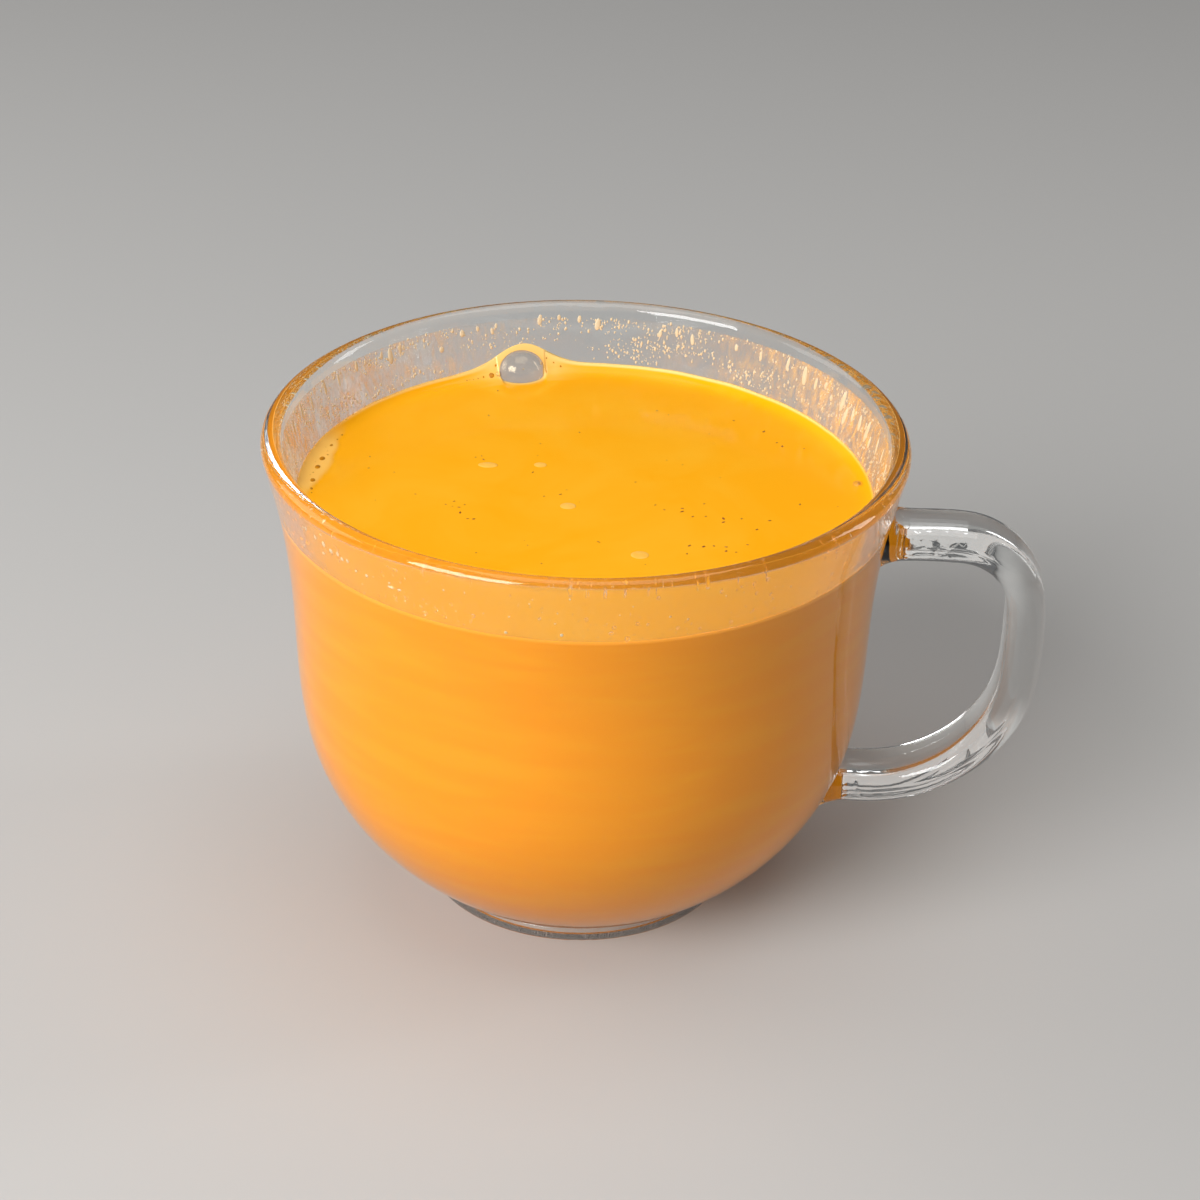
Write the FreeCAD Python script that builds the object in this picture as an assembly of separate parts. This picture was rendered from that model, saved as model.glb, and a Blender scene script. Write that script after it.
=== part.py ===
"""A clear glass mug on a low foot ring, with a bar handle, filled with spiced milk tea.

Millimetres, +Z up. The origin is the middle of the ring that the mug stands on, and the handle
points along +X. Two pieces are written: the mug, one solid of glass, and the tea inside it.
"""
import FreeCAD, Part
import math
import os

# Mug: outside sizes
rim_diameter = 110.0
mug_height = 87.0
foot_diameter = 55.0
foot_height = 2.6
foot_crease = 0.5          # how far the bowl starts inside the foot's edge

# Mug: glass thicknesses
wall = 3.3
heel = 4.4                 # wall where the bowl curves into the floor
rim_bead = 3.4             # thickness of the rounded rim
floor_height = 6.2         # table to the middle of the inside floor
foot_recess = 1.6          # hollow under the floor, inside the foot ring
foot_ring = 4.0            # width of the foot ring
foot_round = 0.9           # rounding of the ring's two edges
rim_lean = 13.0            # degrees that the lip leans outward at the rim

# Side of the bowl between foot and rim: (share of its height, share of its growth in radius)
bowl_side = [(0.123, 0.420), (0.298, 0.722), (0.524, 0.822), (0.711, 0.850), (0.857, 0.905)]

# Handle
handle_reach = 76.9        # axis of the mug to the centre line of the grip
handle_drop = 18.0         # rim to the upper arm's centre line
handle_bottom = 19.9       # height of the lower arm's centre line
handle_upper_bend = 12.9
handle_grip = 10.2         # straight length between the two bends
handle_thickness = 6.5
handle_width = 12.0
handle_round = 3.1         # edges of the bar, nearly a full round
joint_flare = 0.8          # added all round where an arm meets the wall
joint_run = 3.6            # length over which the flare dies away
bend_step = 15.0           # degrees between the sections round a bend

# Tea
tea_drop = 12.6            # rim to the tea's level
meniscus_climb = 1.0
meniscus_run = 4.0
meniscus_lip = 0.15        # width of the tea's top edge against the glass

rim_radius = rim_diameter / 2
foot_radius = foot_diameter / 2
bead_radius = rim_bead / 2
bead_height = mug_height - bead_radius
lean = math.radians(rim_lean)
side_start = (foot_radius - foot_crease, foot_height)
handle_top = mug_height - handle_drop
handle_lower_bend = handle_top - handle_bottom - handle_upper_bend - handle_grip
tea_level = mug_height - tea_drop
bead_centre = (rim_radius - bead_radius, bead_height)


def point(radius, height):
    return FreeCAD.Vector(radius, 0, height)


def spline(points, first_tangent, last_tangent):
    curve = Part.BSplineCurve()
    curve.interpolate(Points=points, InitialTangent=first_tangent, FinalTangent=last_tangent)
    return curve.toShape()


def arc(centre, radius, start, end):
    """Arc in the XZ plane between two angles in degrees, by way of the angle halfway."""
    angles = [math.radians(a) for a in (start, (start + end) / 2, end)]
    ends = [point(centre[0] + radius * math.cos(a), centre[1] + radius * math.sin(a)) for a in angles]
    return Part.Arc(*ends).toShape()


def line(start, end):
    return Part.makeLine(start, end)


def revolved(edges):
    face = Part.Face(Part.Wire(edges))
    return face.revolve(FreeCAD.Vector(0, 0, 0), FreeCAD.Vector(0, 0, 1), 360)


def bead_edge(side):
    """Where the side line (side 1) or the inside line (side -1) runs into the rim's bead."""
    return point(bead_centre[0] + side * bead_radius * math.cos(lean),
                 bead_centre[1] - side * bead_radius * math.sin(lean))


def outer_side():
    """Side line of the bowl, from the foot up to the rim's bead."""
    start = point(*side_start)
    end = bead_edge(1)
    rise = end.z - start.z
    growth = end.x - start.x
    middle = [point(start.x + growth * wide, start.z + rise * high) for high, wide in bowl_side]
    return spline([start] + middle + [end], point(1.5, 1), point(math.sin(lean), math.cos(lean)))


def thickness_at(share):
    """Glass thickness at a share of the side line's length: heel, even wall, then the bead."""
    stops = [(0.0, heel), (0.40, wall), (0.86, wall), (1.0, rim_bead)]
    for (s0, t0), (s1, t1) in zip(stops, stops[1:]):
        if share <= s1:
            return t0 + (t1 - t0) * (share - s0) / (s1 - s0)
    return rim_bead


def inside_points(side, depth_share, shares):
    """Points that lie inside the side line by a share of the glass thickness."""
    points = []
    for share in shares:
        at = side.getParameterByLength(share * side.Length)
        tangent = side.tangentAt(at)
        inward = FreeCAD.Vector(-tangent.z, 0, tangent.x)
        points.append(side.valueAt(at) + inward * thickness_at(share) * depth_share)
    return points


def cavity_side(side):
    """Inside line of the bowl, from the middle of the floor up to the rim's bead."""
    points = inside_points(side, 1.0, [0.16, 0.26, 0.38, 0.50, 0.62, 0.74, 0.86])
    ends = [point(0, floor_height)] + points + [bead_edge(-1)]
    return spline(ends, point(1, 0), point(math.sin(lean), math.cos(lean)))


def bowl(side, cavity):
    """Bowl, floor and foot ring, turned in one piece."""
    ring_inside = foot_radius - foot_ring
    ring_outer_centre = (foot_radius - foot_round, foot_round)
    ring_inner_centre = (ring_inside + foot_round, foot_round)
    return revolved([
        cavity,
        arc(bead_centre, bead_radius, 180 - rim_lean, -rim_lean),
        side,
        line(point(*side_start), point(foot_radius, foot_round)),
        arc(ring_outer_centre, foot_round, 0, -90),
        line(point(foot_radius - foot_round, 0), point(ring_inside + foot_round, 0)),
        arc(ring_inner_centre, foot_round, 270, 180),
        line(point(ring_inside, foot_round), point(ring_inside, foot_recess)),
        line(point(ring_inside, foot_recess), point(0, foot_recess)),
        line(point(0, foot_recess), point(0, floor_height)),
    ])


def radius_at(side, height):
    """Radius of a side line at a height."""
    points = side.discretize(400)
    for low, high in zip(points, points[1:]):
        if low.z <= height <= high.z:
            return low.x + (high.x - low.x) * (height - low.z) / (high.z - low.z)
    return points[-1].x


def arm_stations(side, height, arm_end):
    """Places along a level arm, from inside the mug to the bend: (x, flare of the section)."""
    wall_radius = radius_at(side, height)
    stations = [(wall_radius - joint_run, joint_flare)]
    for step in range(5):
        run = joint_run * step / 4
        x = wall_radius + run
        if x < arm_end - 1:
            stations.append((x, joint_flare * (1 - step / 4) ** 2))
    return stations


def grip_stations(side):
    """Sections along the handle: (x, z, direction in degrees, flare)."""
    upper_centre = (handle_reach - handle_upper_bend, handle_top - handle_upper_bend)
    lower_centre = (handle_reach - handle_lower_bend, handle_bottom + handle_lower_bend)
    upper_arm = arm_stations(side, handle_top, upper_centre[0])
    lower_arm = arm_stations(side, handle_bottom, lower_centre[0])
    stations = [(x, handle_top, 0, flare) for x, flare in upper_arm]
    steps = round(90 / bend_step)
    lower_start = max(lower_arm)[0]
    for step in range(steps + 1):
        turn = 90 - step * bend_step
        stations.append((upper_centre[0] + handle_upper_bend * math.cos(math.radians(turn)),
                         upper_centre[1] + handle_upper_bend * math.sin(math.radians(turn)),
                         turn - 90, 0))
    for step in range(steps + 1):
        turn = -step * bend_step
        x = lower_centre[0] + handle_lower_bend * math.cos(math.radians(turn))
        if x > lower_start + 1:
            stations.append((x, lower_centre[1] + handle_lower_bend * math.sin(math.radians(turn)),
                             turn - 90, 0))
    stations += [(x, handle_bottom, -180, flare) for x, flare in reversed(lower_arm)]
    return stations


def grip_section(x, z, direction, flare):
    """Rounded rectangle across the handle's centre line."""
    half_thick = handle_thickness / 2 + flare
    half_wide = handle_width / 2 + flare
    corner = handle_round + flare
    angle = math.radians(direction)
    across = FreeCAD.Vector(-math.sin(angle), 0, math.cos(angle))
    sideways = FreeCAD.Vector(0, 1, 0)
    centre = point(x, z)

    def place(u, v):
        return centre + across * u + sideways * v

    flat_u = half_thick - corner
    flat_v = half_wide - corner
    diagonal = corner * math.sqrt(0.5)
    edges = []
    for su, sv in ((1, 1), (-1, 1), (-1, -1), (1, -1)):
        on_u = place(su * half_thick, sv * flat_v)
        on_v = place(su * flat_u, sv * half_wide)
        middle = place(su * (flat_u + diagonal), sv * (flat_v + diagonal))
        ends = (on_u, middle, on_v) if su == sv else (on_v, middle, on_u)
        edges.append(Part.Arc(*ends).toShape())
    corners = []
    for edge, following in zip(edges, edges[1:] + edges[:1]):
        corners += [edge, line(edge.Vertexes[-1].Point, following.Vertexes[0].Point)]
    return Part.Wire(corners)


def handle(side):
    """Bar handle, trimmed to end halfway through the glass of the wall."""
    bar = Part.makeLoft([grip_section(*station) for station in grip_stations(side)], True, False)
    middle = inside_points(side, 0.5, [0.12, 0.24, 0.36, 0.50, 0.64, 0.78, 0.92])
    edge = spline(middle, middle[1] - middle[0], middle[-1] - middle[-2])
    low, high = middle[0], middle[-1]
    core = revolved([edge, line(high, point(0, high.z)), line(point(0, high.z), point(0, low.z)),
                     line(point(0, low.z), low)])
    return bar.cut(core)


def milk_tea(cavity):
    """Tea up to its level, climbing a little where it wets the glass."""
    inside = revolved([cavity, line(bead_edge(-1), point(0, bead_edge(-1).z)),
                       line(point(0, bead_edge(-1).z), point(0, floor_height))])
    top = tea_level + meniscus_climb
    edge_radius = radius_at(cavity, top) - meniscus_lip
    flat_radius = edge_radius - meniscus_run
    climb = spline([point(flat_radius, tea_level), point(edge_radius, top)], point(4, 0), point(1, 1.5))
    below = revolved([
        line(point(0, tea_level), point(flat_radius, tea_level)),
        climb,
        line(point(edge_radius, top), point(rim_diameter, top)),
        line(point(rim_diameter, top), point(rim_diameter, 0)),
        line(point(rim_diameter, 0), point(0, 0)),
        line(point(0, 0), point(0, tea_level)),
    ])
    return inside.common(below)


os.makedirs("parts", exist_ok=True)
side = outer_side()
cavity = cavity_side(side)
glass_mug = bowl(side, cavity).fuse(handle(side)).removeSplitter()
glass_mug.Solids[0].exportStep("parts/glass_mug.step")
milk_tea(cavity).Solids[0].exportStep("parts/milk_tea.step")
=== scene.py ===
"""A clear glass mug of spiced milk tea, dressed for its looks. Metres, +Z up, handle along +X."""
import math
import random
import bmesh
import bpy
from mathutils import Matrix, Vector, noise
from mathutils.bvhtree import BVHTree


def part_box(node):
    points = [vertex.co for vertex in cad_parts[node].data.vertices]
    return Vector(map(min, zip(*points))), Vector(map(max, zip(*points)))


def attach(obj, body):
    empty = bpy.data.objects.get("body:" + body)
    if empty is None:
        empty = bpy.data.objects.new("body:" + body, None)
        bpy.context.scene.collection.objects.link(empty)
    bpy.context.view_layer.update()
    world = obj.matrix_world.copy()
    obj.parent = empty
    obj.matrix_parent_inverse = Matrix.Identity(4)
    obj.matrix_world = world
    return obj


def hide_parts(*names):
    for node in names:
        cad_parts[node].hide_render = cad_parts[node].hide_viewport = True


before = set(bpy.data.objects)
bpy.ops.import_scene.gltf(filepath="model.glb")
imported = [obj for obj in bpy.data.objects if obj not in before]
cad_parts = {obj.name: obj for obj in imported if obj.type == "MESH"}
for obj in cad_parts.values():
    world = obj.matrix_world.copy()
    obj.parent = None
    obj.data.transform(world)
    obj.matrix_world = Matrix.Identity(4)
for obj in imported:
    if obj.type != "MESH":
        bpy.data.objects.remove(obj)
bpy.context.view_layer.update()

# ---------------------------------------------------------------------------
# The mug: one piece of clear pressed glass, bowl, foot and bar handle together.
# Pressed glass is clear but not dead flat, so highlights on it waver a little.
# ---------------------------------------------------------------------------
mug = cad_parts["glass_mug"]


def add(tree, kind, settings=None, **values):
    """A node in a tree, with its options and the values of its inputs."""
    node = tree.nodes.new(kind)
    for name, value in (settings or {}).items():
        setattr(node, name, value)
    for name, value in values.items():
        node.inputs[name.replace("_", " ")].default_value = value
    return node


def join(tree, *pairs):
    """Links (node, output) to (node, input), pair after pair."""
    for (source, out), (target, into) in pairs:
        tree.links.new(source.outputs[out], target.inputs[into])


def new_material(name):
    """A material with an empty tree."""
    material = bpy.data.materials.new(name)
    material.use_nodes = True
    tree = material.node_tree
    tree.nodes.clear()
    return material, tree


def ripples(tree, scale, detail, depth, stretch):
    """A bump of soft noise over the object, depth in metres."""
    place = add(tree, "ShaderNodeTexCoord")
    turn = add(tree, "ShaderNodeMapping", Scale=stretch)
    wave = add(tree, "ShaderNodeTexNoise", Scale=scale, Detail=detail)
    bump = add(tree, "ShaderNodeBump", Strength=1.0, Distance=depth)
    join(tree, ((place, "Object"), (turn, "Vector")), ((turn, "Vector"), (wave, "Vector")),
         ((wave, "Fac"), (bump, "Height")))
    return bump


clear_glass, tree = new_material("clear_glass")
bent = add(tree, "ShaderNodeBsdfPrincipled", Base_Color=(0.975, 0.985, 0.98, 1), Roughness=0.0, IOR=1.5,
           Transmission_Weight=1.0)
open_to_lamps = add(tree, "ShaderNodeBsdfTransparent", Color=(0.94, 0.95, 0.94, 1))
path = add(tree, "ShaderNodeLightPath")
soft_light = add(tree, "ShaderNodeMixShader")
lamps = add(tree, "ShaderNodeMixShader")
out = add(tree, "ShaderNodeOutputMaterial")
waver = ripples(tree, scale=70.0, detail=2.0, depth=0.00006, stretch=(1.0, 1.0, 0.45))
join(tree, ((waver, "Normal"), (bent, "Normal")),
     ((path, "Is Diffuse Ray"), (soft_light, 0)), ((bent, 0), (soft_light, 1)),
     ((open_to_lamps, 0), (soft_light, 2)),
     ((path, "Is Shadow Ray"), (lamps, 0)), ((soft_light, 0), (lamps, 1)), ((open_to_lamps, 0), (lamps, 2)),
     ((lamps, 0), (out, "Surface")))
mug.data.materials.clear()
mug.data.materials.append(clear_glass)

# ---------------------------------------------------------------------------
# The tea: hot milk tea, opaque amber, filled to a finger's width below the rim.
# It wets the glass, so it is shaped to reach just into the wall, and it climbs
# the wall in a pale line of foam that gathers round a bubble at the back.
# ---------------------------------------------------------------------------
tea_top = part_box("milk_tea")[1].z            # the edge of the tea against the glass
tea_level = tea_top - 0.0010                 # the flat of the tea
into_glass = 0.00009                         # how far the tea's skin lies inside the glass
mean_climb, back_climb = 0.0010, 0.0008      # how far the edge climbs the wall, and how much more at the back
waviness = 0.00010                           # of the edge, up and down
curl = 0.0009                                # the climb dies away over this distance from the wall
bubble_turn = math.radians(106.6)            # every turn is measured round from the handle
bubble_lift = 0.0039                         # how much higher the large bubble draws the edge
lift_shift = 0.0006                          # the lift's middle lies this far towards the handle
lift_to_handle, lift_away = 0.0060, 0.0066   # how far the lift reaches along the wall, either way
patch_turn = math.radians(172.0)             # the middle of a patch of foam at the wall
patch_spread, patch_reach = 0.25, 0.0036     # its spread in radians, and its reach in from the wall
patch_least, patch_fade = 0.0006, 0.0016     # no foam under this reach, all of it this much over
foam_thickness = 0.00016
foam_ragged, foam_edge = 0.0005, 0.0006      # its edge wanders this much, and is this soft
line_least, line_more = 0.00004, 0.00018     # the pale line at the wall: width, and more at the back
line_edge = 0.00014
ring_off, ring_width = 0.0002, 0.0005        # the pale ring round the large bubble
pressed_froth = 0.32                         # froth on the tea that the large bubble presses down

shell = BVHTree.FromObject(mug, bpy.context.evaluated_depsgraph_get())
middle = Vector((0, 0, 0.040))
away_from_handle = Vector((-1, 0, 0))


def inner_wall(height):
    """The radius of the inside of the glass at a height."""
    return -shell.ray_cast(Vector((0, 0, height)), away_from_handle)[0].x


def inside_line(count, top):
    """The inside of the glass from the middle of its floor up to a height, as (radius, height)."""
    line = []
    last = math.atan2(top - middle.z, inner_wall(top))
    for i in range(count + 1):
        angle = -math.pi / 2 + (last + math.pi / 2) * i / count
        hit = shell.ray_cast(middle, Vector((-math.cos(angle), 0, math.sin(angle))))[0]
        line.append((-hit.x, hit.z))
    return line


def clamp(part):
    """A part held between none and all."""
    return min(1.0, max(0.0, part))


def swell(turn, centre, width):
    """1 at an angle round the mug, falling smoothly to 0 either side of it."""
    apart = math.atan2(math.sin(turn - centre), math.cos(turn - centre))
    return math.exp(-(apart / width) ** 2)


level_radius = inner_wall(tea_level)
lean_span = 0.004
wall_lean = (inner_wall(tea_level + lean_span) - level_radius) / lean_span

# the large bubble: air half sunk in the tea and pressed against the wall, wider than tall
bubble_radius, bubble_wide, bubble_tall = 0.0041, 0.0045, 0.0039
bubble_height = tea_level + 0.0007           # its middle
bubble_out = inner_wall(bubble_height) + 0.0003
bubble_cover, cover_fade = 0.0006, 0.0005    # the edge climbs this far in past its ends, and fades
bubble = (Matrix.Rotation(bubble_turn, 4, "Z") @ Matrix.Translation((bubble_out, 0, bubble_height))
          @ Matrix.Diagonal((bubble_radius, bubble_wide, bubble_tall, 1)))
into_bubble = bubble.inverted()


def along_wall(turn):
    """Distance round the wall from the middle of the large bubble."""
    return math.atan2(math.sin(turn - bubble_turn), math.cos(turn - bubble_turn)) * bubble_out


def lifted(turn):
    """How much of the bubble's lift the tea has at an angle: 1 at the bubble, 0 well away from it."""
    run = along_wall(turn) + lift_shift
    return math.exp(-(run / (lift_to_handle if run < 0 else lift_away)) ** 2)


def climb(turn, under_bubble=True):
    """How far the tea climbs the wall; under_bubble leaves out the part that the large bubble fills."""
    wavy = waviness * noise.noise(Vector((9 * math.cos(turn), 9 * math.sin(turn), 0.0)))
    rise = mean_climb + back_climb * math.sin(turn) + wavy + bubble_lift * lifted(turn)
    if under_bubble:
        rise *= clamp((abs(along_wall(turn)) - bubble_wide + bubble_cover) / cover_fade)
    return rise


def closed_mesh(name, vertices, faces, smooth=True):
    """A piece made from its points and faces."""
    mesh = bpy.data.meshes.new(name)
    mesh.from_pydata(vertices, [], faces)
    mesh.validate()
    if smooth:
        mesh.shade_smooth()
    piece = bpy.data.objects.new(name, mesh)
    bpy.context.scene.collection.objects.link(piece)
    return piece


def press_bubble(place):
    """Moves a point of the tea out of the bubble, and says how near the bubble's skin it was."""
    local = into_bubble @ place
    if local.length < 1:
        return bubble @ local.normalized(), -1.0
    return place, (local.length - 1) * bubble_radius


def tea_surface(gap, turn):
    """A point of the top of the tea, gap metres in from the glass, and how much froth lies there."""
    height = tea_level + climb(turn) * math.exp(-gap / curl)
    radius = level_radius + wall_lean * (height - tea_level) + into_glass - gap
    flat = Vector((radius * math.cos(turn), radius * math.sin(turn), height))
    ragged = foam_ragged * noise.noise(Vector((flat.x, flat.y, 0)) * 300)
    reach = swell(turn, patch_turn, patch_spread) * patch_reach
    foam = 1.0 - clamp((gap + ragged - reach) / foam_edge)
    foam *= clamp((reach - patch_least) / patch_fade)
    flat.z += foam_thickness * foam
    back = 0.5 + 0.5 * math.sin(turn + 0.15)
    line = 1.0 - clamp((gap - line_least - line_more * back) / line_edge)
    place, off = press_bubble(flat)
    ring = math.exp(-((off - ring_off) / ring_width) ** 2) if off >= 0 else pressed_froth
    return place, max(line * (0.10 + 0.75 * back ** 2), 0.75 * ring, 0.38 * foam, froth_up(turn, height))


def froth_up(turn, height):
    """Froth on the tea that the bubble lifts: paler towards its upper edge."""
    part = (height - tea_level) / climb(turn, under_bubble=False)
    return min(1.0, 2.5 * lifted(turn)) * (0.12 + 0.70 * max(0.0, part)) if part > 0.02 else 0.0


def close_turns(centre, degrees, half):
    """Closely spaced turns, half of them on each side of a centre."""
    return [centre + math.radians(degrees) * (k / half - 1) for k in range(2 * half + 1)]


# columns of points round the tea, closer by the bubble and by the patch of foam
turns = [2 * math.pi * k / 300 for k in range(300)]
turns += close_turns(bubble_turn, 12, 55) + close_turns(patch_turn, 17, 36)
turns = sorted(t % (2 * math.pi) for t in turns)
turns = [t for i, t in enumerate(turns) if t - turns[i - 1] > 1e-4 or i == 0]
around = len(turns)

# rows of points up the side, closer near the top, then in over the top, closest at the wall
near_top, row_step = 0.0045, 0.0003
side = inside_line(64, tea_level - near_top)
side += [(inner_wall(tea_level - row_step * i), tea_level - row_step * i) for i in range(14, 0, -1)]
gaps = [0.00009 * i + 0.0000135 * i * i for i in range(0, 30)]
while gaps[-1] < level_radius - 0.004:
    gaps.append(gaps[-1] + 1.09 * (gaps[-1] - gaps[-2]))
gaps = [g for g in gaps if g < level_radius - 0.0015]
vertices, froths, faces = [], [], []
for (r0, z0), (r1, z1), (r2, z2) in zip(side[:-2], side[1:-1], side[2:]):
    along = Vector((r2 - r0, z2 - z0)).normalized()
    radius, height = r1 + into_glass * along.y, z1 - into_glass * along.x
    for turn in turns:
        place, off = press_bubble(Vector((radius * math.cos(turn), radius * math.sin(turn), height)))
        vertices.append(place)
        froths.append(pressed_froth if off < 0 else 0.0)
side_rows = len(side) - 2
for gap in gaps:
    for turn in turns:
        place, froth = tea_surface(gap, turn)
        vertices.append(place)
        froths.append(froth)
rows = side_rows + len(gaps)
for row in range(rows - 1):
    for k in range(around):
        n = (k + 1) % around
        a, b = row * around, (row + 1) * around
        faces.append((a + k, a + n, b + n, b + k))
floor_point, top_point = len(vertices), len(vertices) + 1
vertices += [Vector((0, 0, side[0][1] - into_glass)), Vector((0, 0, tea_level))]
froths += [0.0, 0.0]
for k in range(around):
    n = (k + 1) % around
    faces.append((floor_point, n, k))
    faces.append((top_point, (rows - 1) * around + k, (rows - 1) * around + n))
tea = closed_mesh("tea", vertices, faces)
tea.data.attributes.new("froth", "FLOAT", "POINT").data.foreach_set("value", froths)


def tea_finish(name, colour, swirl_colour, streaks, shine):
    """Opaque milk tea: faint drifts of paler tea, and froth where the mesh says so."""
    material, tree = new_material(name)
    place = add(tree, "ShaderNodeTexCoord")
    drift = add(tree, "ShaderNodeMapping", Scale=(1.0, 1.0, streaks))
    cloud = add(tree, "ShaderNodeTexNoise", Scale=46.0, Detail=4.0, Roughness=0.55, Distortion=0.6)
    wisp = add(tree, "ShaderNodeMapRange", From_Min=0.42, From_Max=0.72, To_Min=0.0, To_Max=0.35)
    swirl = add(tree, "ShaderNodeMix", {"data_type": "RGBA"}, A=colour, B=swirl_colour)
    froth = add(tree, "ShaderNodeAttribute", {"attribute_name": "froth"})
    foam = add(tree, "ShaderNodeMix", {"data_type": "RGBA"}, B=(0.99, 0.745, 0.29, 1))
    skin = add(tree, "ShaderNodeBsdfPrincipled", Roughness=0.14, IOR=1.34, Specular_IOR_Level=shine)
    out = add(tree, "ShaderNodeOutputMaterial")
    join(tree, ((place, "Object"), (drift, "Vector")), ((drift, 0), (cloud, "Vector")),
         ((cloud, "Fac"), (wisp, "Value")), ((wisp, 0), (swirl, "Factor")),
         ((froth, "Fac"), (foam, "Factor")),
         ((skin, 0), (out, "Surface")))
    tree.links.new(swirl.outputs[2], foam.inputs[6])
    tree.links.new(foam.outputs[2], skin.inputs["Base Color"])
    return material


tea.data.materials.append(tea_finish("milk_tea_top", (0.98, 0.415, 0.002, 1), (0.99, 0.53, 0.035, 1),
                                     streaks=1.0, shine=0.40))
# painted shade: the side of the tea gets a darker, more orange copy of the top's colours
tea.data.materials.append(tea_finish("milk_tea_side_painted_shade", (0.95, 0.31, 0.002, 1), (0.98, 0.41, 0.010, 1),
                                     streaks=7.0, shine=0.0))
side_faces = side_rows * around
tea.data.polygons.foreach_set("material_index",
                              [1 if i < side_faces else 0 for i in range(len(tea.data.polygons))])
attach(tea, "root")
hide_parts("milk_tea")

# ---------------------------------------------------------------------------
# The film of milk on the wall: what the tea left on the inside of the glass
# when it was poured, a skin far thinner than paper that dries in fine runs.
# ---------------------------------------------------------------------------
wall_top = 0.0846                            # the film, drops and drips end here, under the rim
film_thickness, film_sunk = 0.00004, 0.00002
streak_cover, even_cover = 0.58, 0.30        # how much the runs hide at most, and the even film at the front
wall_low, wall_step = 0.070, 0.0002
radii = [inner_wall(wall_low + wall_step * i) for i in range(76)]


def on_wall(turn, height):
    """A point on the inside of the glass, and the way that the glass faces there."""
    step = (height - wall_low) / wall_step
    i = max(0, min(len(radii) - 2, int(step)))
    part = step - i
    radius = radii[i] * (1 - part) + radii[i + 1] * part
    slope = (radii[i + 1] - radii[i]) / wall_step
    normal = Vector((-math.cos(turn), -math.sin(turn), slope)).normalized()
    return Vector((radius * math.cos(turn), radius * math.sin(turn), height)), normal


def wall_band(name, low, high, rows, around, thickness, off, weight, depth):
    """A thin closed band that lies on the inside wall, with a weight and a depth at each point."""
    front, back, weights, depths = [], [], [], []
    for i in range(rows + 1):
        for k in range(around):
            turn = 2 * math.pi * k / around
            start = low(turn)
            height = start + (high - start) * i / rows
            place, normal = on_wall(turn, height)
            front.append(place + normal * (off + thickness))
            back.append(place + normal * off)
            weights.append(weight(turn, height))
            depths.append(depth(turn, height))
    total = len(front)
    faces = []
    for i in range(rows):
        for k in range(around):
            n = (k + 1) % around
            a, b = i * around, (i + 1) * around
            faces.append((a + n, a + k, b + k, b + n))
            faces.append((total + a + k, total + a + n, total + b + n, total + b + k))
    for k in range(around):
        n = (k + 1) % around
        faces.append((k, n, total + n, total + k))
        a = rows * around
        faces.append((a + n, a + k, total + a + k, total + a + n))
    piece = closed_mesh(name, front + back, faces)
    piece.data.attributes.new("weight", "FLOAT", "POINT").data.foreach_set("value", weights + weights)
    piece.data.attributes.new("depth", "FLOAT", "POINT").data.foreach_set("value", depths + depths)
    return piece


def film_weight(turn, height):
    """More film on the two sides than at the back, and least at the front; heavier by the tea and the rim."""
    rise = (height - tea_level) / (wall_top - tea_level)
    if math.hypot(along_wall(turn), height - bubble_height) < bubble_radius + 0.0008:
        return 0.0
    back, front = max(0.0, math.sin(turn)), max(0.0, -math.sin(turn))
    sides = abs(math.cos(turn)) ** (1.5 if front == 0 else 4)
    general = 0.06 + 0.94 * sides - 0.20 * front
    by_tea = 0.35 * math.exp(-rise / 0.25) * (0.2 + 0.8 * sides) * (1 - front)
    by_rim = (0.55 * front ** 0.5 + 0.25 * sides) * math.exp(-((1.0 - rise) / 0.13) ** 2)
    return max(0.0, min(1.0, (general + by_tea) * (1.0 - 0.55 * back * (1 - sides)) + by_rim))


def film_depth(turn, height):
    """How much of the even amber film there is: it lies on the front wall, and none on the back."""
    return min(1.0, 2.2 * max(0.0, -math.sin(turn))) * (0.55 + 0.45 * abs(math.cos(turn)))


film = wall_band("milk_film", lambda turn: tea_level + climb(turn) - 0.0002, wall_top, rows=24, around=240,
                 thickness=film_thickness, off=-film_sunk, weight=film_weight, depth=film_depth)
milk_film, tree = new_material("milk_film")
place = add(tree, "ShaderNodeTexCoord")
long = add(tree, "ShaderNodeMapping", Scale=(1.0, 1.0, 0.30))
streaks = add(tree, "ShaderNodeTexNoise", Scale=1100.0, Detail=3.0, Roughness=0.6, Distortion=0.4)
runs = add(tree, "ShaderNodeMapRange", From_Min=0.38, From_Max=0.66, To_Min=0.25, To_Max=1.0)
cloud = add(tree, "ShaderNodeTexNoise", Scale=210.0, Detail=3.0, Roughness=0.6)
patch = add(tree, "ShaderNodeMapRange", From_Min=0.30, From_Max=0.62, To_Min=0.15, To_Max=1.0)
weight = add(tree, "ShaderNodeAttribute", {"attribute_name": "weight"})
cover = add(tree, "ShaderNodeMath", {"operation": "MULTIPLY"})
worn = add(tree, "ShaderNodeMath", {"operation": "MULTIPLY"})
thin = add(tree, "ShaderNodeMath", {"operation": "MULTIPLY"})
thin.inputs[1].default_value = streak_cover
tone = add(tree, "ShaderNodeMix", {"data_type": "RGBA"}, A=(0.82, 0.33, 0.04, 1), B=(0.97, 0.57, 0.16, 1))
amber = add(tree, "ShaderNodeMix", {"data_type": "RGBA"}, B=(0.98, 0.38, 0.004, 1))
depth = add(tree, "ShaderNodeAttribute", {"attribute_name": "depth"})
even = add(tree, "ShaderNodeMath", {"operation": "MULTIPLY"})
even.inputs[1].default_value = even_cover
both = add(tree, "ShaderNodeMath", {"operation": "MAXIMUM"})
milk = add(tree, "ShaderNodeBsdfPrincipled", Roughness=0.5, Specular_IOR_Level=0.2)
out = add(tree, "ShaderNodeOutputMaterial")
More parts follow.
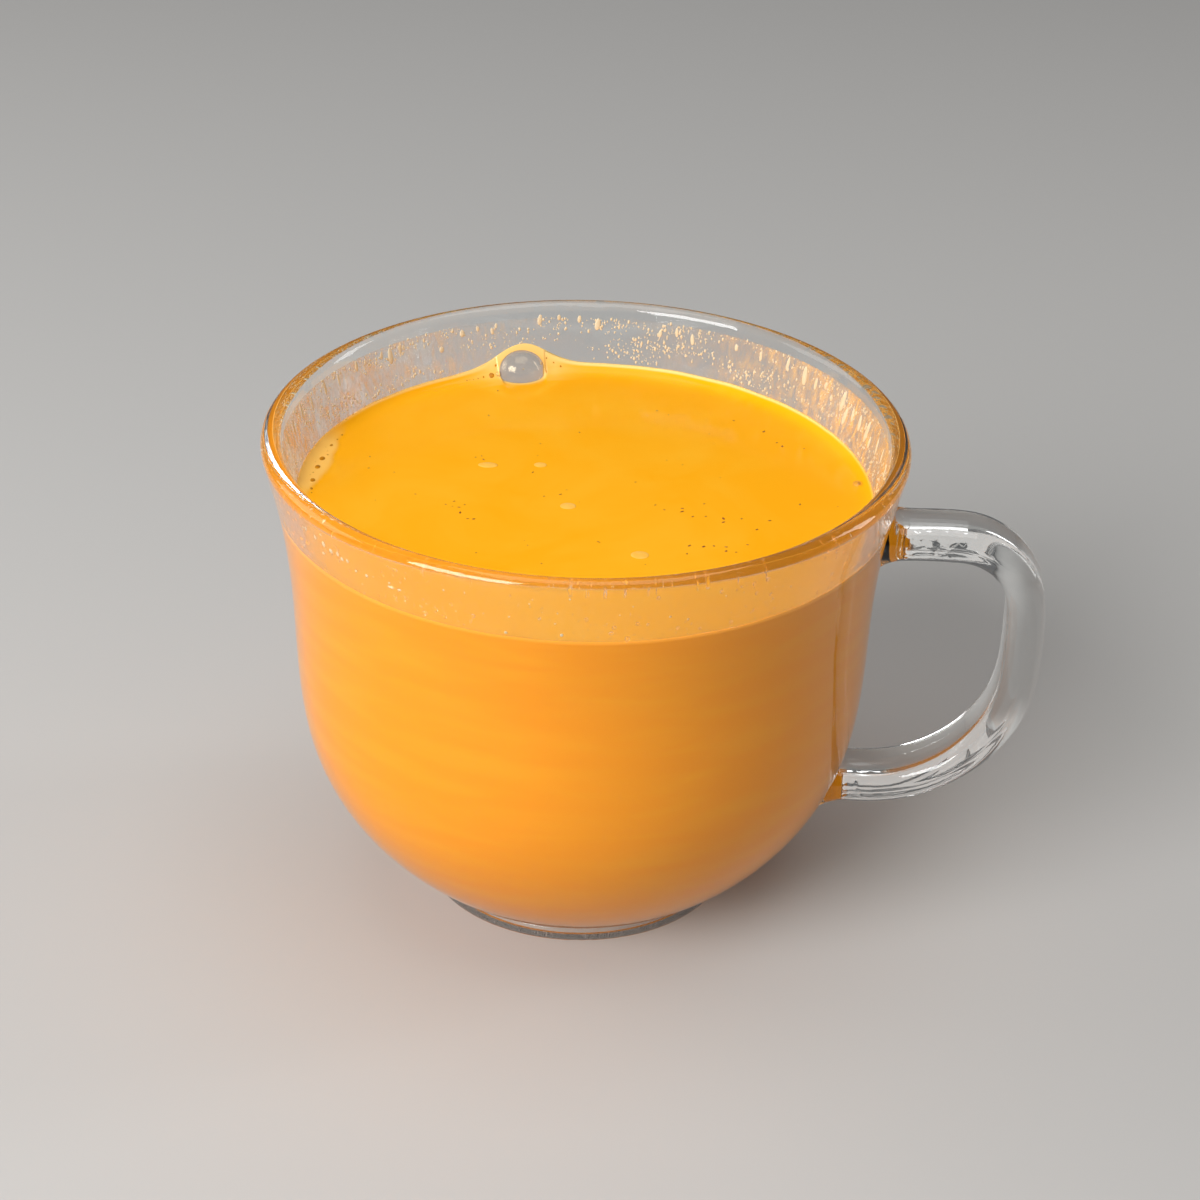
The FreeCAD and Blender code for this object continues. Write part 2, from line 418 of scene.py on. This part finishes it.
join(tree, ((place, "Object"), (long, 0)), ((long, 0), (streaks, 0)), ((streaks, "Fac"), (runs, "Value")),
     ((place, "Object"), (cloud, 0)), ((cloud, "Fac"), (patch, "Value")),
     ((runs, 0), (cover, 0)), ((weight, "Fac"), (cover, 1)), ((cover, 0), (worn, 0)), ((patch, 0), (worn, 1)),
     ((worn, 0), (thin, 0)), ((depth, "Fac"), (even, 0)), ((thin, 0), (both, 0)), ((even, 0), (both, 1)),
     ((both, 0), (milk, "Alpha")), ((runs, 0), (tone, "Factor")), ((milk, 0), (out, "Surface")))
tree.links.new(tone.outputs[2], amber.inputs[6])
tree.links.new(depth.outputs["Fac"], amber.inputs[0])
tree.links.new(amber.outputs[2], milk.inputs["Base Color"])
film.data.materials.append(milk_film)
film.visible_shadow = False
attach(film, "root")

# ---------------------------------------------------------------------------
# Droplets and drips of milk: drops that were thrown on the wall and dried, in
# clouds at the back, and longer ones that ran a little way down before they set.
# ---------------------------------------------------------------------------


def droplet(name, segments, rows, taper=0.0, flat=0.5):
    """A drop of milk, 1 across, lying in the XY plane with +Y up the wall and +Z off the wall."""
    points, faces = [Vector((0, -0.5, 0))], []
    for i in range(1, rows):
        angle = math.pi * i / rows
        along, width = -math.cos(angle) / 2, math.sin(angle) / 2
        width *= 1 - taper * (along + 0.5) ** 0.8
        for k in range(segments):
            turn = 2 * math.pi * k / segments
            points.append(Vector((width * math.cos(turn), along, flat * width * math.sin(turn))))
    points.append(Vector((0, 0.5, 0)))
    for k in range(segments):
        n = (k + 1) % segments
        faces.append((0, 1 + k, 1 + n))
        for i in range(rows - 2):
            a, b = 1 + i * segments, 1 + (i + 1) * segments
            faces.append((a + k, b + k, b + n, a + n))
        a = 1 + (rows - 2) * segments
        faces.append((a + k, len(points) - 1, a + n))
    shape = closed_mesh(name, points, faces)
    shape.hide_render = True
    return shape


def instance_tree():
    """Sets a shape on every point of a cloud, by the point's own facing and size, as one mesh."""
    tree = bpy.data.node_groups.new("set on points", "GeometryNodeTree")
    sockets = {}
    for label, kind, flow in (
            ("Geometry", "NodeSocketGeometry", "INPUT"), ("Shape", "NodeSocketObject", "INPUT"),
            ("Overall size", "NodeSocketFloat", "INPUT"), ("Finish", "NodeSocketMaterial", "INPUT"),
            ("Mesh", "NodeSocketGeometry", "OUTPUT")):
        sockets[label] = tree.interface.new_socket(label, in_out=flow, socket_type=kind).identifier
    into = tree.nodes.new("NodeGroupInput")
    shape = add(tree, "GeometryNodeObjectInfo")
    facing = add(tree, "GeometryNodeInputNamedAttribute", {"data_type": "FLOAT_VECTOR"}, Name="facing")
    size = add(tree, "GeometryNodeInputNamedAttribute", {"data_type": "FLOAT_VECTOR"}, Name="size")
    along = add(tree, "GeometryNodeInputNamedAttribute", {"data_type": "FLOAT_VECTOR"}, Name="along")
    out_of_wall = add(tree, "FunctionNodeAlignRotationToVector", {"axis": "Z"})
    up_the_wall = add(tree, "FunctionNodeAlignRotationToVector", {"axis": "Y", "pivot_axis": "Z"})
    bigger = add(tree, "ShaderNodeVectorMath", {"operation": "SCALE"})
    points = add(tree, "GeometryNodeMeshToPoints")
    put = add(tree, "GeometryNodeInstanceOnPoints")
    real = add(tree, "GeometryNodeRealizeInstances")
    finish = add(tree, "GeometryNodeSetMaterial")
    out = tree.nodes.new("NodeGroupOutput")
    join(tree, ((into, "Geometry"), (points, "Mesh")), ((points, 0), (put, "Points")),
         ((into, "Shape"), (shape, "Object")), ((shape, "Geometry"), (put, "Instance")),
         ((facing, 0), (out_of_wall, "Vector")), ((out_of_wall, 0), (up_the_wall, "Rotation")),
         ((along, 0), (up_the_wall, "Vector")), ((up_the_wall, 0), (put, "Rotation")),
         ((size, 0), (bigger, 0)), ((into, "Overall size"), (bigger, "Scale")), ((bigger, 0), (put, "Scale")),
         ((put, 0), (real, 0)), ((real, 0), (finish, "Geometry")), ((into, "Finish"), (finish, "Material")),
         ((finish, 0), (out, "Mesh")))
    return tree, sockets


set_on_points, set_sockets = instance_tree()


def set_shapes(name, spots, shape, finish, overall=1.0):
    """One piece from copies of a shape; spots is a list of (place, facing, along, size)."""
    mesh = bpy.data.meshes.new(name)
    mesh.from_pydata([s[0] for s in spots], [], [])
    for key, column in (("facing", 1), ("along", 2), ("size", 3)):
        data = mesh.attributes.new(key, "FLOAT_VECTOR", "POINT").data
        data.foreach_set("vector", [c for s in spots for c in s[column]])
    cloud = bpy.data.objects.new(name + " places", mesh)
    bpy.context.scene.collection.objects.link(cloud)
    build = cloud.modifiers.new("set", "NODES")
    build.node_group = set_on_points
    build[set_sockets["Shape"]] = shape
    build[set_sockets["Overall size"]] = overall
    build[set_sockets["Finish"]] = finish
    made = bpy.data.meshes.new_from_object(cloud.evaluated_get(bpy.context.evaluated_depsgraph_get()))
    made.name = name
    bpy.data.objects.remove(cloud)
    piece = bpy.data.objects.new(name, made)
    bpy.context.scene.collection.objects.link(piece)
    piece.data.shade_smooth()
    return piece


def mottled(name, scale, detail, dark, light, **finish):
    """A finish that drifts between two near colours."""
    material, tree = new_material(name)
    place = add(tree, "ShaderNodeTexCoord")
    cloud = add(tree, "ShaderNodeTexNoise", Scale=scale, Detail=detail)
    tone = add(tree, "ShaderNodeMix", {"data_type": "RGBA"}, A=dark, B=light)
    skin = add(tree, "ShaderNodeBsdfPrincipled", **finish)
    out = add(tree, "ShaderNodeOutputMaterial")
    join(tree, ((place, "Object"), (cloud, 0)), ((cloud, "Fac"), (tone, "Factor")),
         ((skin, 0), (out, "Surface")))
    tree.links.new(tone.outputs[2], skin.inputs["Base Color"])
    return material


up = Vector((0, 0, 1))
drop_milk = mottled("milk_drop", 900.0, 2.0, (0.80, 0.62, 0.36, 1), (0.88, 0.78, 0.58, 1),
                    Roughness=0.3, IOR=1.35, Alpha=0.78)
chance = random.Random(7)                    # all that is scattered draws from it in turn
fine = droplet("droplet shape", 8, 5)
droplets_at_back, droplets_in_front = 1500, 46
droplet_clouds = (                           # middle and width in degrees, how thick
    (68, 24, 0.9), (138, 20, 0.75), (20, 22, 0.35), (178, 18, 0.3))


def gather(turn, height):
    """How thick the droplets lie: clouds of them, thickest at the back right and the back left."""
    degrees = math.degrees(turn)
    thick = 0.30 + sum(most * math.exp(-((degrees - centre) / width) ** 2)
                       for centre, width, most in droplet_clouds)
    cloudy = noise.noise(Vector((4 * math.cos(turn), 4 * math.sin(turn), 330 * height)))
    return thick * clamp(0.55 + 1.5 * cloudy)


spots = []
while len(spots) < droplets_at_back:
    turn = math.radians(chance.uniform(-12, 196))
    low = tea_level + climb(turn) + 0.0006
    height = low + chance.random() * (wall_top - low)
    if chance.random() > gather(turn, height):
        continue
    place, normal = on_wall(turn, height)
    wide = 0.00016 + 0.00034 * chance.random() ** 2.4
    spots.append((place, normal, up, (wide, wide * chance.uniform(1.0, 1.8), wide)))
for i in range(droplets_in_front):
    turn = math.radians(chance.uniform(-168, -14))
    low = tea_level + climb(turn) + 0.0006
    place, normal = on_wall(turn, low + chance.random() * (wall_top - 0.001 - low))
    wide = 0.00020 + 0.0004 * chance.random() ** 2
    spots.append((place, normal, up, (wide, wide * chance.uniform(0.9, 1.3), wide * 0.5)))
droplets = set_shapes("milk_droplets", spots, fine, drop_milk)
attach(droplets, "root")

run = droplet("drip shape", 14, 12, taper=0.2, flat=0.42)
drip_unit = 0.00088                          # widths and lengths below are in these
spots = []
for degrees, drop, wide, tall in (           # turn, millimetres under wall_top, width, length
        (136.5, 1.9, 1.5, 3.4), (133.8, 1.2, 0.8, 2.6), (138.8, 1.3, 0.8, 1.6), (124.0, 3.4, 1.2, 1.3),
        (119.0, 1.3, 1.3, 1.5), (115.5, 0.9, 0.8, 1.2), (111.5, 0.8, 0.7, 1.1), (112.4, 1.7, 0.8, 1.5),
        (102.2, 0.4, 1.1, 2.3), (98.2, 0.1, 0.9, 1.2), (94.0, 0.4, 0.9, 1.6), (90.2, 1.3, 1.4, 2.6),
        (146.0, 1.2, 0.9, 2.4), (152.0, 1.8, 0.7, 2.9), (157.0, 1.4, 0.9, 3.6), (163.0, 2.2, 0.8, 3.2),
        (168.0, 1.6, 1.0, 4.0), (174.0, 2.2, 0.8, 3.0), (180.0, 1.8, 0.9, 3.6), (187.0, 2.0, 0.8, 3.0),
        (77.0, 2.0, 0.9, 1.7), (73.5, 1.4, 0.8, 2.0), (70.0, 2.2, 1.0, 2.4), (60.0, 1.8, 0.9, 1.5),
        (54.0, 2.0, 0.8, 2.2), (47.0, 1.5, 0.9, 3.0), (42.0, 2.3, 1.5, 4.0), (38.5, 2.6, 1.0, 2.6),
        (35.5, 2.0, 0.8, 1.6), (33.0, 3.4, 0.9, 1.3), (29.0, 2.6, 1.6, 4.6), (27.0, 4.6, 1.3, 4.2),
        (24.5, 3.4, 1.0, 3.0), (21.0, 3.6, 1.3, 3.4), (17.0, 3.6, 1.5, 4.8), (14.5, 4.6, 1.1, 2.6),
        (10.0, 3.4, 0.9, 3.8), (5.0, 3.0, 0.8, 3.4), (-2.0, 2.8, 0.8, 3.0),
        (214.0, 2.6, 0.6, 0.9), (217.0, 3.0, 0.7, 0.9), (219.5, 3.3, 1.0, 1.2), (221.5, 3.8, 1.0, 1.0),
        (223.5, 3.6, 0.8, 1.1), (224.5, 4.2, 0.9, 0.9), (226.0, 4.0, 0.7, 0.8), (230.5, 5.2, 0.7, 0.8),
        (236.0, 5.6, 1.5, 0.4), (238.0, 5.5, 0.9, 0.35)):
    turn = math.radians(degrees)
    place, normal = on_wall(turn, wall_top - 0.001 * drop)
    wide, tall = drip_unit * wide, drip_unit * tall
    aslant = Vector((-math.sin(turn), math.cos(turn), 0)) * chance.uniform(-0.15, 0.15)
    spots.append((place, normal, up + aslant, (wide, tall, wide * 0.8)))
drips = set_shapes("milk_drips", spots, run, drop_milk)
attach(drips, "root")

# ---------------------------------------------------------------------------
# Condensed steam: clear drops of water on the inside of the front wall, where
# the steam of the hot tea settled, a few large among many fine.
# ---------------------------------------------------------------------------
dew, tree = new_material("condensed_steam")
water = add(tree, "ShaderNodeBsdfPrincipled", Base_Color=(0.99, 0.97, 0.93, 1), Roughness=0.0, IOR=1.33,
            Transmission_Weight=1.0)
clear = add(tree, "ShaderNodeBsdfTransparent")
path = add(tree, "ShaderNodeLightPath")
lamps = add(tree, "ShaderNodeMixShader")
out = add(tree, "ShaderNodeOutputMaterial")
join(tree, ((path, "Is Shadow Ray"), (lamps, 0)), ((water, 0), (lamps, 1)), ((clear, 0), (lamps, 2)),
     ((lamps, 0), (out, "Surface")))
dew_drops = 800
spots = []
while len(spots) < dew_drops:
    turn = math.radians(chance.uniform(-172, -8))
    low = tea_level + climb(turn) + 0.0004
    height = low + chance.random() * (wall_top + 0.0006 - low)
    cloudy = noise.noise(Vector((5 * math.cos(turn), 5 * math.sin(turn), 300 * height)))
    if chance.random() > 0.3 + 1.4 * cloudy + 0.5 * abs(math.cos(turn)):
        continue
    place, normal = on_wall(turn, height)
    wide = 0.00018 + 0.00070 * chance.random() ** 5
    spots.append((place, normal, up, (wide, wide * chance.uniform(1.0, 1.4), wide * 0.9)))
steam_drops = set_shapes("condensed_drops", spots, fine, dew)
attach(steam_drops, "root")

# ---------------------------------------------------------------------------
# The froth over the large bubble: the same climbing tea, where it passes above
# the ball of air as a pale arch, tea and foam lying on the wall.
# ---------------------------------------------------------------------------
across_steps, up_steps = 90, 10
spread = bubble_wide + 0.0004                # how far the arch runs to each side of the bubble's middle
arch_sink, arch_depth = 0.00025, 0.00032     # its ends sink into the tea; it reaches into the glass
arch_least = 0.0003                          # how tall it is at the least, at its ends
inside_ball = 0.98                           # its lower edge lies a little inside the ball of air
arch_raised = 0.00004                        # its upper edge stands this far off the glass
front, back, froths = [], [], []
for i in range(across_steps + 1):
    run = (2 * i / across_steps - 1) * spread
    turn = bubble_turn + run / bubble_out
    rise = climb(turn, under_bubble=False)
    ball_top = math.sqrt(max(0.0, inside_ball - (run / bubble_wide) ** 2))
    low = bubble_height + bubble_tall * ball_top - tea_level
    low = min(low, rise - arch_least)
    sink = arch_sink * clamp((abs(run) - bubble_wide + 0.0001) / 0.0004)
    inward = Vector((-math.cos(turn), -math.sin(turn), 0))
    for j in range(up_steps + 1):
        height = low + (rise - low) * j / up_steps
        place, normal = on_wall(turn, tea_level + height)
        front.append(place + inward * (arch_raised - sink + curl * math.log(rise / height)))
        back.append(place - normal * arch_depth)
        froths.append(froth_up(turn, tea_level + height))
total, row = len(front), up_steps + 1
faces = []
for i in range(across_steps):
    for j in range(up_steps):
        a, b = i * row + j, (i + 1) * row + j
        faces.append((a, b, b + 1, a + 1))
        faces.append((total + b, total + a, total + a + 1, total + b + 1))
    a, b = i * row, (i + 1) * row
    faces.append((b, a, total + a, total + b))
    a, b = a + up_steps, b + up_steps
    faces.append((a, b, total + b, total + a))
for j in range(up_steps):
    faces.append((j, j + 1, total + j + 1, total + j))
    a = across_steps * row + j
    faces.append((a + 1, a, total + a, total + a + 1))
arch_froth = closed_mesh("bubble_froth", front + back, faces)
arch_froth.data.attributes.new("froth", "FLOAT", "POINT").data.foreach_set("value", froths + froths)
arch_froth.data.materials.append(tea.data.materials[0])
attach(arch_froth, "root")

# ---------------------------------------------------------------------------
# The large bubble: a ball of air half sunk in the tea by the back wall, which
# shows as a clear skin of tea with a bright edge.
# ---------------------------------------------------------------------------
soap, tree = new_material("bubble_film")
sheer = add(tree, "ShaderNodeBsdfTransparent", Color=(1, 1, 1, 1))
shine = add(tree, "ShaderNodeBsdfPrincipled", Base_Color=(0.62, 0.50, 0.33, 1), Roughness=0.14, Metallic=0.8)
edge = add(tree, "ShaderNodeLayerWeight", Blend=0.2)
grow = add(tree, "ShaderNodeMapRange", From_Min=0.0, From_Max=1.0, To_Min=0.10, To_Max=0.65)
blend = add(tree, "ShaderNodeMixShader")
out = add(tree, "ShaderNodeOutputMaterial")
join(tree, ((edge, "Facing"), (grow, "Value")), ((grow, 0), (blend, 0)), ((sheer, 0), (blend, 1)),
     ((shine, 0), (blend, 2)), ((blend, 0), (out, "Surface")))

points, faces = [], []
slices, stacks = 48, 30
skin_size, off_wall = 0.99, 0.00025          # the skin just clears the tea, and the glass
for i in range(stacks + 1):
    tilt = math.pi * i / stacks
    for k in range(slices):
        turn = 2 * math.pi * k / slices
        ball = Vector((math.sin(tilt) * math.cos(turn), math.sin(tilt) * math.sin(turn), math.cos(tilt)))
        place = bubble @ (skin_size * ball)
        most = inner_wall(place.z) - off_wall
        out_from_axis = math.hypot(place.x, place.y)
        if out_from_axis > most:
            place.x, place.y = place.x * most / out_from_axis, place.y * most / out_from_axis
        points.append(place)
for i in range(stacks):
    for k in range(slices):
        n, a, b = (k + 1) % slices, i * slices, (i + 1) * slices
        faces.append((a + k, b + k, b + n, a + n))
large = closed_mesh("large_bubble", points, faces)
weld = bmesh.new()
weld.from_mesh(large.data)
bmesh.ops.remove_doubles(weld, verts=weld.verts, dist=0.000002)
weld.to_mesh(large.data)
weld.free()
large.data.materials.append(soap)
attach(large, "root")

# ---------------------------------------------------------------------------
# Small bubbles: two clear domes that stand on the tea at the wall, and little
# amber ones in the foam, too small to see into, whose dark amber is painted shade.
# ---------------------------------------------------------------------------


def dome_shape(name, segments, rows):
    """A bubble's film, radius 1: a dome that closes just under the tea."""
    foot, under = 0.96, 0.35
    points, faces = [Vector((0, 0, 1))], []
    angles = [math.pi / 2 * i / rows for i in range(1, rows + 1)]
    rims = [(math.sin(a), math.cos(a)) for a in angles] + [(foot, -under)]
    for radius, height in rims:
        for k in range(segments):
            turn = 2 * math.pi * k / segments
            points.append(Vector((radius * math.cos(turn), radius * math.sin(turn), height)))
    points.append(Vector((0, 0, -under)))
    for k in range(segments):
        n = (k + 1) % segments
        faces.append((0, 1 + k, 1 + n))
        for i in range(len(rims) - 1):
            a, b = 1 + i * segments, 1 + (i + 1) * segments
            faces.append((a + k, b + k, b + n, a + n))
        a = 1 + (len(rims) - 1) * segments
        faces.append((a + k, len(points) - 1, a + n))
    shape = closed_mesh(name, points, faces)
    shape.hide_render = True
    return shape


small_dome = dome_shape("bubble shape", 32, 10)
beyond = Vector((0, 1, 0))


def on_tea(turn_degrees, gap, radius, tall):
    """A bubble that stands on the tea, gap in from the wall."""
    turn = math.radians(turn_degrees)
    place, _ = tea_surface(gap, turn)
    return (place, up, beyond, (radius, radius, radius * tall))


spots = [on_tea(112.0, 0.0012, 0.0006, 0.8), on_tea(8.7, 0.0018, 0.0009, 0.6)]
bubbles = set_shapes("tea_bubbles", spots, small_dome, soap)
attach(bubbles, "root")

# painted shade: the foam bubbles drift from a dark amber, for the shade in their hollows, to the tea's own
# amber
shaded_amber = mottled("bubble_amber_painted_shade", 1200.0, 1.0, (0.24, 0.09, 0.004, 1), (0.80, 0.31, 0.006, 1),
               Roughness=0.08, IOR=1.34)
oval = droplet("foam bubble shape", 12, 8, taper=0.15, flat=0.5)
spots = []


def in_foam(degrees, gap, wide, long):
    """A small bubble that lies on the slope of the foam, gap in from the wall, sizes in millimetres."""
    flat, near = 0.3, 0.0001
    turn = math.radians(degrees)
    inward = Vector((-math.cos(turn), -math.sin(turn), 0))
    place, _ = tea_surface(0.001 * gap, turn)
    slope = (place.z - tea_surface(0.001 * gap + near, turn)[0].z) / near
    spots.append((place, (up + inward * slope).normalized(), inward - up * slope,
                  (0.001 * wide, 0.001 * long, 0.001 * wide * flat)))


for degrees, gap, wide, long in (            # in the patch, by the handle, then beside the large bubble
        (157.2, 1.6, 0.55, 0.30), (159.6, 1.7, 0.5, 0.25), (162.7, 1.8, 0.9, 0.5), (169.1, 2.1, 1.6, 0.95),
        (173.1, 2.2, 1.6, 0.9), (179.2, 2.3, 1.5, 0.85), (182.8, 2.4, 0.9, 0.5), (167.0, 2.5, 0.45, 0.35),
        (165.5, 2.0, 0.3, 0.15), (175.8, 1.9, 0.4, 0.2), (184.6, 2.5, 0.45, 0.25), (171.2, 1.4, 0.2, 0.15),
        (177.0, 1.6, 0.2, 0.15), (164.2, 1.3, 0.2, 0.12), (8.9, 1.6, 1.2, 0.6),
        (113.5, 1.2, 1.2, 1.3), (112.2, 0.45, 0.5, 0.6), (101.0, 0.35, 0.32, 0.4), (99.5, 0.5, 0.32, 0.4),
        (98.0, 0.7, 0.40, 0.5), (115.4, 1.1, 0.40, 0.5), (116.7, 1.1, 0.32, 0.4), (117.8, 1.1, 0.25, 0.3),
        (118.6, 1.0, 0.2, 0.25), (119.3, 1.0, 0.3, 0.4)):
    in_foam(degrees, gap, wide, long)
foam_bubbles = set_shapes("foam_bubbles", spots, oval, shaded_amber)
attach(foam_bubbles, "root")

# ---------------------------------------------------------------------------
# Flecks of cream: thin round spots of milk fat that float on the tea.
# They are flat lenses, a little paler than the drink.
# ---------------------------------------------------------------------------
cream = mottled("cream_fleck", 900.0, 2.0, (0.98, 0.45, 0.02, 1), (0.99, 0.60, 0.14, 1),
                Roughness=0.3, IOR=1.4)
lens = droplet("fleck shape", 24, 12, flat=0.05)
spots = []
for x, y, wide, long in (                    # millimetres
        (-2.7, -4.9, 2.7, 2.3), (10.0, -21.4, 3.0, 2.6), (-17.4, 9.4, 3.4, 2.0), (-8.3, 10.2, 2.2, 1.8)):
    spots.append((Vector((0.001 * x, 0.001 * y, tea_level + 0.00002)), up, beyond,
                  (0.001 * wide, 0.001 * long, 0.001 * wide)))
flecks = set_shapes("cream_flecks", spots, lens, cream)
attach(flecks, "root")

# ---------------------------------------------------------------------------
# Spice: specks of ground bark and seed that float on the tea, in a few drifts
# and scattered singly between them.
# ---------------------------------------------------------------------------
spice = mottled("ground_spice", 700.0, 1.0, (0.12, 0.020, 0.002, 1), (0.42, 0.09, 0.006, 1), Roughness=0.6)
single_specks, speck_reach = 46, 0.044       # scattered this far from the middle of the tea
drift_width = 0.0012
drifts = (((0.0095, -0.0035), (0.0299, -0.0073), 12), ((0.0182, -0.0172), (0.0266, -0.0165), 7),
          ((-0.0245, -0.0045), (-0.0172, -0.0112), 8), ((0.0173, 0.0444), (0.0354, 0.0206), 8))
grain = droplet("grain shape", 6, 4, taper=0.2, flat=0.6)
spots = []


def speck(x, y, size):
    """One grain of spice, lying any way round."""
    turn = chance.uniform(0, math.tau)
    spots.append((Vector((x, y, tea_level)), up, Vector((math.cos(turn), math.sin(turn), 0)),
                  (size * 0.7, size * chance.uniform(0.9, 1.5), size * 0.35)))


for (x0, y0), (x1, y1), number in drifts:
    for i in range(number):
        part = chance.random()
        speck(x0 + (x1 - x0) * part + chance.gauss(0, drift_width),
              y0 + (y1 - y0) * part + chance.gauss(0, drift_width), chance.uniform(0.0003, 0.0007))
for i in range(single_specks):
    turn, radius = chance.uniform(0, math.tau), speck_reach * math.sqrt(chance.random())
    speck(radius * math.cos(turn), radius * math.sin(turn), chance.uniform(0.0002, 0.0005))
specks = set_shapes("spice_specks", spots, grain, spice)
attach(specks, "root")

# ---------------------------------------------------------------------------
# Air in the glass: two small bubbles that were pressed in with the handle's
# joints, silvery because light can't leave the glass at their skin.
# ---------------------------------------------------------------------------
silver, tree = new_material("air_in_glass")
skin = add(tree, "ShaderNodeBsdfPrincipled", Base_Color=(0.85, 0.87, 0.86, 1), Roughness=0.06, Metallic=1.0,
           Alpha=0.7)
out = add(tree, "ShaderNodeOutputMaterial")
join(tree, ((skin, 0), (out, "Surface")))
ball = droplet("air shape", 12, 8, flat=1.0)
spots = [(Vector((0.0530, -0.0012, 0.0695)), up, beyond, (0.0009, 0.0009, 0.0013)),
         (Vector((0.0462, 0.0008, 0.0240)), up, beyond, (0.0008, 0.0008, 0.0011))]
air = set_shapes("glass_air_bubbles", spots, ball, silver)
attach(air, "root")

# ---------------------------------------------------------------------------
# The studio: a plain pale table that isn't part of the object, soft lamps on
# the left, above and behind on the right, and a long lens that looks down.
# ---------------------------------------------------------------------------
table_half = 3
corners = [(-table_half, -table_half, 0), (table_half, -table_half, 0),
           (table_half, table_half, 0), (-table_half, table_half, 0)]
table = closed_mesh("table", corners, [(0, 1, 2, 3)], smooth=False)
pale, tree = new_material("pale_table")
plain = add(tree, "ShaderNodeBsdfPrincipled", Base_Color=(0.50, 0.49, 0.475, 1), Roughness=0.7)
out = add(tree, "ShaderNodeOutputMaterial")
join(tree, ((plain, 0), (out, "Surface")))
table.data.materials.append(pale)

world = bpy.data.worlds.new("studio")
bpy.context.scene.world = world
world.use_nodes = True
room = world.node_tree.nodes["Background"]
room.inputs["Color"].default_value = (0.96, 0.98, 1.0, 1)
room.inputs["Strength"].default_value = 0.11
cycles = bpy.context.scene.cycles
cycles.max_bounces = 32                      # thick glass bends a ray many times
cycles.transmission_bounces = 24
cycles.glossy_bounces = 12
cycles.transparent_max_bounces = 32


def softbox(name, place, aim, wide, tall, level):
    """A soft lamp; level is what it adds to a white surface that faces it at its aim."""
    data = bpy.data.lights.new(name, "AREA")
    data.shape, data.size, data.size_y = "RECTANGLE", wide, tall
    lamp = bpy.data.objects.new(name, data)
    bpy.context.scene.collection.objects.link(lamp)
    lamp.location = place
    reach = Vector(aim) - Vector(place)
    lamp.rotation_mode = "QUATERNION"
    lamp.rotation_quaternion = reach.to_track_quat("-Z", "Y")
    data.energy = level * math.pi ** 2 * reach.length_squared


mid = (0.0, 0.0, 0.045)
softbox("key", (-0.56, -0.66, 0.60), mid, 0.62, 0.54, 1.22)
softbox("window", (-0.80, 0.20, 0.42), mid, 0.60, 0.50, 0.22)
softbox("overhead", (0.05, 0.00, 1.10), mid, 0.80, 0.80, 0.30)
softbox("side_strip", (0.80, 0.25, 0.35), mid, 0.16, 0.60, 0.18)

camera = bpy.data.objects.new("camera", bpy.data.cameras.new("camera"))
bpy.context.scene.collection.objects.link(camera)
bpy.context.scene.camera = camera
camera.data.lens, camera.data.sensor_width = 90, 36
camera.data.clip_start = 0.01
eye, aim, roll = Vector((0.01596, -0.4571, 0.3099)), Vector((0.0030, 0.0002, 0.0535)), math.radians(1.48)
ahead = (aim - eye).normalized()
right = ahead.cross(up).normalized()
over = right.cross(ahead)
across = right * math.cos(roll) + over * math.sin(roll)
upward = over * math.cos(roll) - right * math.sin(roll)
camera.matrix_world = Matrix.Translation(eye) @ Matrix((across, upward, -ahead)).transposed().to_4x4()
bpy.context.scene.view_settings.view_transform = "Standard"
